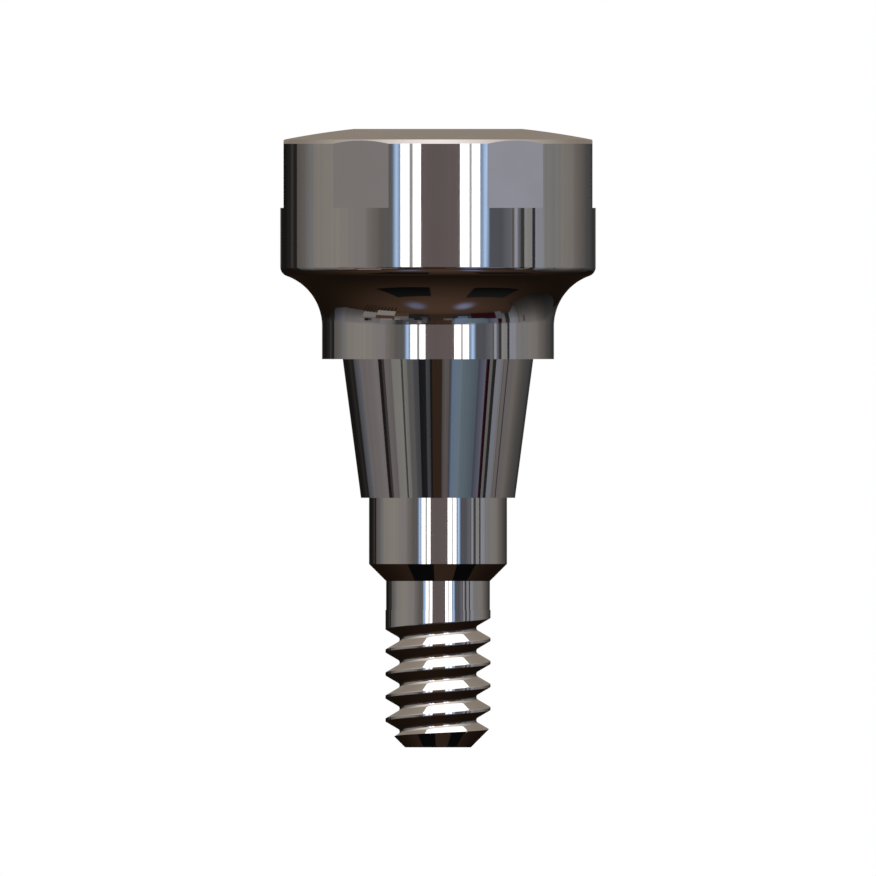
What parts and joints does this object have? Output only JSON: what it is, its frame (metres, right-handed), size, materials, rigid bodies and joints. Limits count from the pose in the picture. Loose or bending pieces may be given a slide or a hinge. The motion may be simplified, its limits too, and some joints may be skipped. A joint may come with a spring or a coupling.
{
  "type": "magnetic denture abutment",
  "caption": "Turned titanium abutment with a magnet sealed in its domed drum head, wrench flats, flared neck, sealing cone and screw thread; holds a denture magnet on an implant.",
  "frame": {"origin": "on the axis, in the plane of the shoulder that rests on the implant", "axes": "+Z along the axis, out of the implant towards the magnetic face; +X square to one wrench flat"},
  "size_m": [0.0048, 0.0048, 0.0094],
  "materials": {
    "titanium": "titanium alloy, turned and polished to a mirror, with very fine turning lines",
    "magnet_alloy": "ground sintered samarium-cobalt, dull grey"
  },
  "bodies": {
    "root": {"abutment_body": "titanium", "cover": "titanium", "magnet": "magnet_alloy"}
  },
  "joints": []
}
